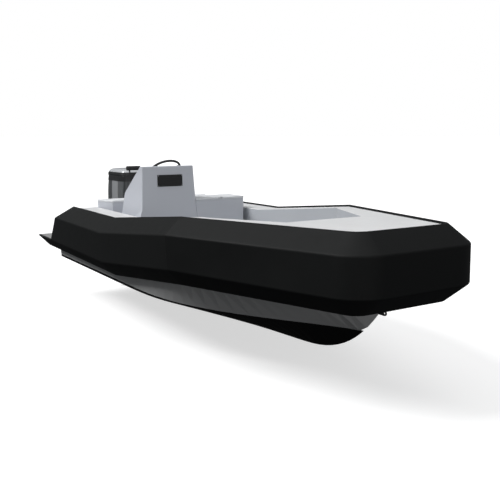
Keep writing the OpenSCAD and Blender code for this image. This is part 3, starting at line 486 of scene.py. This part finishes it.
def bolt_head(bm, place, direction, radius):
    """Adds a hexagon head on a washer. The shares are of the head's radius."""
    seat = facing(place, direction)
    washer = [(0, 0), (1.7, 0), (1.7, 0.25), (0, 0.25)]
    head = [(0, 0.2), (1, 0.2), (1, 0.75), (0.82, 0.95), (0, 0.95)]
    for outline, steps in ((washer, 20), (head, 6)):
        turned(bm, [(radius * r, radius * z) for r, z in outline], seat, steps)


def screw_head(bm, place, direction, radius, shoulder, rise, steps):
    """Adds a low screw head: a dome of height rise above a shoulder."""
    dome = [(0, 0), (radius, 0), (radius * 0.9, shoulder), (0, rise)]
    turned(bm, dome, facing(place, direction), steps)


def tower(levels, power=0.42, point=0.0):
    """A closed shape through level outlines: each is (height, front x, back x, half-width).
    power squares the outline's corners, and point narrows its back."""
    bm = bmesh.new()
    ring = bmesh.ops.create_circle(bm, segments=64, radius=1.0, cap_ends=False)["verts"]
    for vert in ring:
        c, s = vert.co.x, vert.co.y
        vert.co.x = abs(c) ** power * (1 if c > 0 else -1)
        vert.co.y = abs(s) ** power * (1 if s > 0 else -1) * (1 - point + point * c)
    edges = list(bm.edges)
    bmesh.ops.contextual_create(bm, geom=edges)
    last = (0.0, 1.0, -1.0, 1.0)
    for i, level in enumerate(levels):
        if i:
            made = bmesh.ops.extrude_edge_only(bm, edges=edges)["geom"]
            edges = [g for g in made if isinstance(g, bmesh.types.BMEdge)]
            ring = [g for g in made if isinstance(g, bmesh.types.BMVert)]
        height, front, back, half = level
        centre, reach = (front + back) / 2, (front - back) / 2
        old_centre, old_reach = (last[1] + last[2]) / 2, (last[1] - last[2]) / 2
        bmesh.ops.translate(bm, verts=ring, vec=(-old_centre, 0, height - last[0]))
        bmesh.ops.scale(bm, verts=ring, vec=(reach / old_reach, half / last[3], 1))
        bmesh.ops.translate(bm, verts=ring, vec=(centre, 0, 0))
        last = level
    bmesh.ops.contextual_create(bm, geom=edges)
    return bm


def cut_away(bm, place, direction):
    """Removes what lies beyond a plane."""
    bmesh.ops.bisect_plane(bm, geom=bm.verts[:] + bm.edges[:] + bm.faces[:], plane_co=place,
                           plane_no=direction, clear_outer=True)


def open_ends(bm, above=True):
    """Removes a tower's flat ends, or only the lower one."""
    ends = [f for f in bm.faces if f.normal.z < -LEVEL or above and f.normal.z > LEVEL]
    bmesh.ops.delete(bm, geom=ends, context="FACES")


def thin_skin(levels, proud, cuts, thickness):
    """A sheet that stands proud of a tower, open above and below. Each cut is a plane's point and
    direction."""
    bm = tower([(z, front + proud, back - proud, half + proud) for z, front, back, half in levels])
    for place, direction in cuts:
        cut_away(bm, place, direction)
    open_ends(bm)
    bmesh.ops.solidify(bm, geom=bm.faces[:], thickness=thickness)
    return bm


# ---- Collar ----

def make_collar():
    """The three foam lengths of the collar, each a firm pad under its skin."""
    for node in ("collar_starboard", "collar_port", "collar_bow"):
        skin = make_piece(node + "_skin", cad_copy(node), "collar_black", "hull", replaces=(node,),
                          normals=False, weighted=True)


# ---- Motor ----

def motor_section(height):
    """Height, front, back and half-width of the cowl there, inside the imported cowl's box.
    It draws in towards its foot and its top, and leans back a little as it rises."""
    low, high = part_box("cowl")
    share = (height - low.z) / (high.z - low.z)
    swell = sin(pi * min(1, max(0, 0.2 + share * 0.6))) ** 0.5
    inset = 0.004
    front = high.x - inset - 0.030 * (1 - swell) - 0.012 * share
    back = low.x + inset + 0.042 * (1 - swell) + 0.03 * share ** 2
    half = high.y - inset / 2 - 0.022 * (1 - swell) - 0.01 * share
    return height, front, back, half


def make_cowl():
    """Moulded shell of the cowl, open below, with its panels, visor, louvre and latch."""
    wall, edge_radius, steps = 0.012, 0.006, 14
    low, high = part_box("cowl")
    levels = [motor_section(low.z + (high.z - low.z) * i / steps) for i in range(steps + 1)]
    bm = tower(levels)
    bmesh.ops.bevel(bm, geom=[e for e in bm.edges if e.calc_face_angle(0) > radians(50)],
                    offset=edge_radius, affect="EDGES", segments=2, profile=0.5, material=-1)
    open_ends(bm, above=False)
    bmesh.ops.solidify(bm, geom=bm.faces[:], thickness=-wall)
    make_piece("motor_cowl", bm, "motor_cowl", "motor", sharp=60, replaces=("cowl",))
    make_cowl_panels(levels[1:-1])
    make_cowl_visor()
    make_louvre()
    make_cowl_latch(low.z + 0.03)


def make_cowl_panels(levels):
    """Light and mid-grey panels on the cowl's sides, each a thin sheet from one x to another."""
    inner_y = 0.06
    for side, label in ((-1, "starboard"), (1, "port")):
        for kind, (back, front), finish in (("light", (0.085, 0.280), "cowl_stripe"),
                                            ("mid", (0.284, 0.400), "cowl_panel")):
            cuts = (((back, 0, 0), (-1, 0, 0)), ((front, 0, 0), (1, 0, 0)),
                    ((0, side * inner_y, 0), (0, -side, 0)))
            bm = thin_skin(levels, 0.0012, cuts, 0.0014)
            make_piece("cowl_" + kind + "_panel_" + label, bm, finish, "motor")


def make_cowl_visor():
    """Dark band round the top of the cowl, all but its back."""
    levels = [motor_section(z) for z in (1.006, 1.02, 1.035, 1.052, 1.068)]
    bm = thin_skin(levels, 0.0018, (VISOR_CUT,), 0.002)
    make_piece("cowl_visor", bm, "black_plastic", "motor")


def make_louvre():
    """Six slanted slats over the air intake at the back of the cowl, narrower towards the top."""
    first_z, spacing, slant = 0.93, 0.017, Matrix.Rotation(radians(25), 3, "Y")
    bm = bmesh.new()
    for i in range(6):
        z = first_z + spacing * i
        back = motor_section(z)[2]
        block(bm, (0.012, 0.19 - 0.008 * i, 0.007), (back + 0.0015, 0, z), 0.0025, slant)
    make_piece("cowl_air_louvre", bm, "black_plastic", "motor")


def make_cowl_latch(z):
    """Catch at the back of the cowl: a plate and its lever."""
    back = motor_section(z)[2]
    bm = bmesh.new()
    block(bm, (0.009, 0.07, 0.028), (back - 0.001, 0, z), 0.003)
    block(bm, (0.008, 0.05, 0.012), (back - 0.006, 0, z + 0.004), 0.0025)
    make_piece("cowl_latch", bm, "black_plastic", "motor")


def make_cap():
    """Light domed cap, with the upper part of the dark visor round its foot."""
    inset = 0.004
    low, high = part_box("cowl_cap")
    rise = high.z - low.z
    levels = []
    for share, dip in ((0, 0.004), (0.05, 0), (0.28, 0.003), (0.5, 0.009), (0.68, 0.021),
                       (0.82, 0.038), (0.92, 0.062), (0.98, 0.092), (1.0, 0.13)):
        levels.append((low.z + rise * share, high.x - inset - dip * 1.15,
                       low.x + inset + dip * 1.25, high.y - inset - dip * 0.72))
    make_piece("motor_cap", tower(levels), "motor_cap", "motor", sharp=62, replaces=("cowl_cap",))
    bm = thin_skin(levels[:4], 0.0015, (VISOR_CUT,), 0.0016)
    make_piece("cap_visor", bm, "black_plastic", "motor")


def make_tray():
    """Lower half of the cowl, with the sealing lip that the upper half sits on."""
    low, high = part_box("cowl_tray")
    depth = high.z - low.z
    curve = ((0, 0.040), (0.18, 0.018), (0.45, 0.007), (0.8, 0.002), (1, 0.001))
    levels = [(low.z + depth * share, high.x - dip, low.x + dip * 1.3, high.y - dip)
              for share, dip in curve]
    make_piece("motor_tray", tower(levels), "motor_dark", "motor", sharp=60,
               replaces=("cowl_tray",))
    inset = 0.0005
    bm = tower([(high.z - drop, high.x - inset, low.x + inset, high.y - inset)
                for drop in (0.005, 0.001)])
    make_piece("cowl_seal", bm, "wheel_grip", "motor")


def propeller_axis():
    """Height of the propeller shaft's middle."""
    shaft_radius = 0.012
    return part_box("prop_shaft")[0].z + shaft_radius


def blade_point(around, share):
    """Place on a blade standing up from the axis: around is a point of the unit circle, laid flat
    into a thin foil at the angle of the pitch, and share is how far out it lies."""
    root, tip, pitch = 0.034, 0.117, 0.26
    radius = root + (tip - root) * share
    chord = 0.070 + 0.062 * sin(pi * share ** 0.9 * 0.86) - 0.066 * share ** 6
    thick = 0.0085 - 0.0062 * share
    along = around.x * max(chord, 0.012) / 2
    proud = -around.y * thick / 2 * (1 - 0.25 * around.x)
    angle = atan(pitch / (2 * pi * radius))
    arc = (along * cos(angle) - proud * sin(angle)) / radius
    lean = 0.004 * share
    x = along * sin(angle) + proud * cos(angle) - lean
    return Vector((x, radius * sin(arc), radius * cos(arc)))


def add_blade(bm, middle, turn):
    """Adds a blade that widens to its middle, thins outward and leans back towards its tip."""
    shares = (0, 0.12, 0.3, 0.5, 0.68, 0.82, 0.92, 0.98, 1.0)
    ring = bmesh.ops.create_circle(bm, segments=24, radius=1.0, cap_ends=False)["verts"]
    edges = list({e for v in ring for e in v.link_edges})
    bmesh.ops.contextual_create(bm, geom=edges)
    blade = []
    for share in shares:
        if share:
            made = bmesh.ops.extrude_edge_only(bm, edges=edges)["geom"]
            edges = [g for g in made if isinstance(g, bmesh.types.BMEdge)]
            ring = [g for g in made if isinstance(g, bmesh.types.BMVert)]
        bmesh.ops.translate(bm, verts=ring, vec=(0, 0, share - ring[0].co.z))
        blade += ring
    bmesh.ops.contextual_create(bm, geom=edges)
    for vert in blade:
        vert.co = blade_point(vert.co, vert.co.z)
    bmesh.ops.rotate(bm, verts=blade, cent=(0, 0, 0), matrix=Matrix.Rotation(turn, 3, "X"))
    bmesh.ops.translate(bm, verts=blade, vec=(middle, 0, 0))


def make_propeller():
    """Three twisted blades on a barrel hub, whose exhaust passes round the inner sleeve."""
    low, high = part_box("propeller")
    back, front, z = low.x, high.x, propeller_axis()
    bore, sleeve, mouth, barrel = 0.0125, 0.024, 0.030, 0.040
    outline = [(mouth, back), (mouth, back + 0.05), (sleeve, back + 0.05), (sleeve, back + 0.004),
               (bore, back + 0.002), (bore, front), (barrel, front),
               (barrel + 0.0005, front - 0.02), (barrel - 0.0015, back + 0.006),
               (barrel - 0.0025, back), (0.034, back), (mouth, back)]
    bm = bmesh.new()
    turned(bm, outline, facing((0, 0, 0), (1, 0, 0)), 48)
    for i in range(3):
        add_blade(bm, (back + front) / 2, 2 * pi * i / 3)
    bmesh.ops.translate(bm, verts=bm.verts, vec=(0, 0, z))
    make_piece("propeller_cast", bm, "prop_metal", "propeller", sharp=50, replaces=("propeller",))
    seat = facing((back - 0.001, 0, z), (-1, 0, 0))
    bm = bmesh.new()
    turned(bm, [(0, 0), (0.019, 0), (0.019, 0.004), (0, 0.004)], seat, 32)
    turned(bm, [(0, 0.003), (0.0135, 0.003), (0.0135, 0.014), (0.012, 0.016), (0, 0.016)], seat, 6)
    make_piece("propeller_nut", bm, "stainless", "propeller")


def make_gearcase():
    """Torpedo-shaped gear housing with its strut, skeg and water intakes."""
    low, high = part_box("gearcase")
    z = propeller_axis()
    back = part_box("propeller")[1].x + 0.006
    nose, radius = high.x, 0.041
    outline = [(0.0, nose), (0.012, nose - 0.004), (0.024, nose - 0.016), (0.034, nose - 0.038),
               (radius, nose - 0.075), (radius + 0.001, 0.06), (radius, -0.01),
               (radius - 0.0025, back + 0.012), (radius - 0.004, back), (0.0, back)]
    bm = bmesh.new()
    turned(bm, outline, facing((0, 0, z), (1, 0, 0)), 56)
    make_piece("gearcase_body", bm, "motor_dark", "motor", sharp=50, replaces=("gearcase",))
    strut = [(z + 0.020, 0.176, -0.052, 0.024), (z + 0.05, 0.168, -0.045, 0.021),
             (z + 0.09, 0.166, -0.052, 0.019), (z + 0.125, 0.172, -0.066, 0.021),
             (high.z, 0.180, -0.075, 0.026)]
    make_piece("gearcase_strut", tower(strut, power=0.8, point=0.35), "motor_dark", "motor",
               sharp=60)
    skeg = [(z - 0.030, 0.150, -0.050, 0.0045), (z - 0.06, 0.118, -0.052, 0.0045),
            (low.z + 0.02, 0.052, -0.024, 0.0042), (low.z + 0.006, 0.034, -0.014, 0.0036),
            (low.z + 0.0005, 0.022, -0.004, 0.002)]
    make_piece("gearcase_skeg", tower(skeg, power=0.85, point=0.3), "motor_dark", "motor", sharp=60)
    intake, first_z, spacing = (0.030, 0.003, 0.003), z + 0.052, 0.007
    bm = bmesh.new()
    for side in (-1, 1):
        for i in range(4):
            block(bm, intake, (0.115, side * 0.0205, first_z + spacing * i), 0.001)
    make_piece("water_intakes", bm, "black_plastic", "motor")


def make_leg():
    """Midsection, plate, brackets and yokes with their cast edges, the anode and the nuts."""
    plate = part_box("anti_ventilation_plate")[0]
    bm = bmesh.new()
    block(bm, (0.06, 0.03, 0.012), (plate.x + 0.16, 0, plate.z - 0.0055), 0.004)
    make_piece("trim_anode", bm, "zinc", "motor")
    for node, name, radius, body in (("midsection", "midsection_cast", 0.010, "motor"),
                                     ("anti_ventilation_plate", "plate_cast", 0.0022, "motor"),
                                     ("clamp_brackets", "clamp_cast", 0.004, "hull"),
                                     ("swivel_bracket", "swivel_cast", 0.005, "swivel"),
                                     ("steering_yokes", "yokes_cast", 0.004, "motor")):
        rounded(node, name, radius, body, shortest=0.03)
    tilt_x, tilt_z = 0.278, 0.52
    bracket_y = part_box("clamp_brackets")[1].y
    bm = bmesh.new()
    for side in (-1, 1):
        bolt_head(bm, (tilt_x, side * (bracket_y + 0.0001), tilt_z), (0, side, 0), 0.013)
    make_piece("tilt_tube_nuts", bm, "stainless", "hull")
    board_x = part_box("transom_board")[1].x
    bm = bmesh.new()
    for side in (-1, 1):
        for y in (0.13, 0.20):
            for z in (0.30, 0.40):
                bolt_head(bm, (board_x + 0.0001, side * y, z), (1, 0, 0), 0.009)
    make_piece("motor_mount_nuts", bm, "stainless", "hull")


# ---- Helm ----

def wheel_seat():
    """Matrix of the steering wheel: its Z out of the dash and its X up it."""
    joint = next(j for j in frame["joints"] if j["name"] == "wheel_turn")
    out = Vector(joint["axis"])
    up = Vector((out.z, 0, -out.x))
    return Matrix.Translation(Vector(joint["pos_m"])) @ leaning(up, out).to_4x4()


def make_wheel():
    """Padded rim with three dished spokes, a hub cap and a plain disc in its middle."""
    rim, tube, dish = 0.172, 0.0135, 0.030
    seat = wheel_seat()
    outline = [(rim + cos(2 * pi * i / 24) * tube * 0.9, sin(2 * pi * i / 24) * tube)
               for i in range(25)]
    bm = bmesh.new()
    turned(bm, outline, seat, 96)
    make_piece("wheel_rim_grip", bm, "wheel_grip", "steering_wheel", replaces=("wheel_rim",))
    bm = bmesh.new()
    for i in range(3):
        add_spoke(bm, 0.036, rim - 0.010, dish, radians(180 + 120 * i))
    bmesh.ops.transform(bm, verts=bm.verts, matrix=seat)
    make_piece("wheel_spokes", bm, "black_plastic", "steering_wheel", replaces=("wheel_hub",))
    hub = seat @ Matrix.Translation((0, 0, -dish))
    bm = bmesh.new()
    turned(bm, [(0, -0.016), (0.034, -0.016), (0.046, -0.006), (0.048, 0.004), (0.042, 0.016),
                (0.028, 0.024), (0.0, 0.026)], hub, 48)
    make_piece("wheel_hub_cap", bm, "black_plastic", "steering_wheel")
    bm = bmesh.new()
    turned(bm, [(0, 0.0255), (0.020, 0.0255), (0.021, 0.0275), (0.019, 0.029), (0, 0.0295)],
           hub, 40)
    make_piece("wheel_badge_disc", bm, "stainless", "steering_wheel")


def add_spoke(bm, inner, outer, dish, angle):
    """Adds a flat spoke that curves up from the dished hub to the rim and narrows on its way."""
    lengths, overlap, thick = 7, 1.12, 0.004
    for s in range(lengths):
        a, b = s / lengths, (s + 1) / lengths
        ra, rb = inner + (outer - inner) * a, inner + (outer - inner) * b
        za, zb = -dish * (1 - a) ** 1.5, -dish * (1 - b) ** 1.5
        width = 0.030 - 0.010 * (a + b) / 2
        tilt = Matrix.Rotation(-atan((zb - za) / (rb - ra)), 3, "Y")
        middle = Vector(((ra + rb) / 2, 0, (za + zb) / 2))
        block(bm, ((rb - ra) * overlap, width, thick), middle, 0, tilt)
        made = bm.verts[:][-8:]
        bmesh.ops.rotate(bm, verts=made, cent=(0, 0, 0), matrix=Matrix.Rotation(angle, 3, "Z"))


def make_throttle():
    """Control box with its screws, and its lever with a soft grip at the top."""
    rounded("throttle_box", "throttle_housing", 0.006, "hull", shortest=0.02)
    lever = rounded("throttle_lever", "throttle_arm", 0.0035, "hull", shortest=0.012,
                    finish="black_plastic")
    lever.data.materials.append(finishes["wheel_grip"])
    grip_depth = 0.049
    grip_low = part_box("throttle_lever")[1].z - grip_depth
    for face in lever.data.polygons:
        face.material_index = int(face.center.z > grip_low)
    low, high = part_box("throttle_box")
    middle = (low + high) / 2
    bm = bmesh.new()
    for dx in (-0.045, 0.045):
        bolt_head(bm, (middle.x + dx, low.y - 0.0001, middle.z), (0, -1, 0), 0.0045)
    make_piece("throttle_screws", bm, "stainless", "hull")


def on_dash(y, height, proud=0.0):
    """Place on the dash: across the boat, up the slope from its foot, and off its face."""
    return DASH_FOOT + DASH_UP * height + DASH_OUT * (dash_face + proud) + Vector((0, y, 0))


def make_dash():
    """Sloping panel with a display, two dials, a row of switches, the ignition and its screws."""
    rounded("dash_panel", "dash_board", 0.004, "hull", shortest=0.05, finish="panel_black")
    make_display(-0.355, 0.330)
    make_gauges((-0.190, -0.090), 0.345)
    make_switches(-0.400, 0.215)
    make_ignition(-0.245, 0.215)
    bm = bmesh.new()
    for y in (-0.436, -0.024):
        for height in (0.078, 0.380):
            screw_head(bm, on_dash(y, height), DASH_OUT, 0.005, 0.002, 0.0028, 20)
    make_piece("dash_screws", bm, "stainless", "hull")


def make_display(y, height):
    """Chart display: a screen in a raised bezel."""
    for name, size, proud, bevel, finish in (
            ("display_bezel", (0.100, 0.150, 0.010), 0.0045, 0.003, "black_plastic"),
            ("display_screen", (0.084, 0.128, 0.002), 0.0098, 0.0006, "screen")):
        bm = bmesh.new()
        block(bm, size, on_dash(y, height, proud), bevel, leaning(DASH_UP, DASH_OUT))
        make_piece(name, bm, finish, "hull")


def make_gauges(places, height):
    """Round dials in steel rims, each with its needle."""
    inner, outer = 0.036, 0.043
    rims, dials, needles = bmesh.new(), bmesh.new(), bmesh.new()
    for y in places:
        seat = facing(on_dash(y, height), DASH_OUT)
        turned(rims, [(inner, 0), (outer, 0), (outer, 0.006), (outer - 0.003, 0.009),
                      (inner, 0.008), (inner, 0)], seat, 48)
        turned(dials, [(0, 0.0), (inner + 0.0002, 0.0), (inner + 0.0002, 0.003), (0, 0.003)],
               seat, 48)
        block(needles, (0.003, 0.028, 0.0012), on_dash(y - 0.008, height + 0.002, 0.0042), 0.0004,
              leaning(DASH_UP, DASH_OUT))
    make_piece("gauge_rims", rims, "stainless", "hull")
    make_piece("gauge_dials", dials, "dial_white", "hull")
    make_piece("gauge_needles", needles, "needle_red", "hull")


def make_switches(first_y, height):
    """Six rocker switches in a row, each a frame and its tilted rocker."""
    spacing, turn = 0.024, leaning(DASH_UP, DASH_OUT)
    tilt = turn @ Matrix.Rotation(radians(8), 3, "Y")
    bm = bmesh.new()
    for i in range(6):
        y = first_y + spacing * i
        block(bm, (0.032, 0.016, 0.008), on_dash(y, height, 0.0035), 0.002, turn)
        block(bm, (0.020, 0.010, 0.006), on_dash(y, height + 0.002, 0.0088), 0.002, tilt)
    make_piece("rocker_switches", bm, "black_plastic", "hull")


def make_ignition(y, height):
    """Ignition lock with a flat key."""
    bm = bmesh.new()
    turned(bm, [(0, 0), (0.015, 0), (0.015, 0.005), (0.011, 0.008), (0, 0.008)],
           facing(on_dash(y, height), DASH_OUT), 32)
    block(bm, (0.014, 0.002, 0.012), on_dash(y, height, 0.012), 0.0008, leaning(DASH_UP, DASH_OUT))
    make_piece("ignition_switch", bm, "stainless", "hull")


# ---- Hull, deck and seats ----

def make_deck():
    """White deck, with the cockpit's walls, which look towards its middle, in a darker grey that is painted shade.
    """
    middle, lip = Vector((2.6, 0, 0)), 0.02
    deck = rounded("deck_moulding", "deck_gelcoat", 0.006, shortest=0.25, flat=0.02)
    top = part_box("deck_moulding")[1].z
    # A second, darker copy of the deck's gelcoat: painted shade on the walls that face inward
    deck.data.materials.append(finishes["cockpit_painted_shade"])
    for face in deck.data.polygons:
        inward = middle - face.center
        if abs(face.normal.z) < 0.5 and face.center.z < top - lip and face.normal.dot(inward) > 0:
            face.material_index = 1


def make_boat():
    """Folded plates and mouldings of the console, the seats and the transom."""
    rounded("console_body", "console_shell", 0.012)
    rounded("seat_locker", "seat_shell", 0.010, rim=True)
    rounded("aft_bench", "bench_shell", 0.010, rim=True)
    rounded("transom_board", "transom_plate", 0.004, shortest=0.05)
    rounded("seat_locker_lid", "seat_lid", 0.007, "seat_locker_lid", shortest=0.12)
    rounded("aft_bench_lid", "bench_lid", 0.007, "aft_bench_lid", shortest=0.12)


def make_latches():
    """Steel catches on the front of the lids: one on the seat's and two on the bench's."""
    for lid, name, offsets, height, raised in (
            ("seat_locker_lid", "seat_latch", (0,), 0.030, 0.018),
            ("aft_bench_lid", "bench_latches", (-0.35, 0.35), 0.026, 0.015)):
        low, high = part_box(lid)
        middle = (low.y + high.y) / 2
        bm = bmesh.new()
        for dy in offsets:
            block(bm, (0.006, 0.05, height), (high.x + 0.0005, middle + dy, low.z + raised), 0.002)
        make_piece(name, bm, "stainless", lid)


def make_vent_screws():
    """A screw in each corner of the console's vent."""
    inset = 0.008
    low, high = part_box("console_vent")
    bm = bmesh.new()
    for y in (low.y + inset, high.y - inset):
        for z in (low.z + inset, high.z - inset):
            screw_head(bm, (high.x - 0.0004, y, z), (1, 0, 0), 0.004, 0.0016, 0.0022, 16)
    make_piece("vent_screws", bm, "stainless", "hull")


def dress_nodes():
    """Gives each CAD node that still shows the finish of its slot."""
    for name, node in frame["nodes"].items():
        material = finishes.get(slot_of.get(name))
        if material:
            for entry in node.material_slots:
                entry.material = material


# ---- The boat ----

slot_of = {part["node"]: part["material_slot"] for part in frame["record"]["subparts"]}
dash_points = [v.co for v in frame["nodes"]["dash_panel"].data.vertices]
dash_face = max((point - DASH_FOOT).dot(DASH_OUT) for point in dash_points)
place_camera()
light_studio()
lay_floor()
finishes = make_finishes()
dress_nodes()
make_collar()
make_cowl()
make_cap()
make_tray()
make_propeller()
make_gearcase()
make_leg()
make_wheel()
make_throttle()
make_dash()
make_deck()
make_boat()
make_latches()
make_vent_screws()
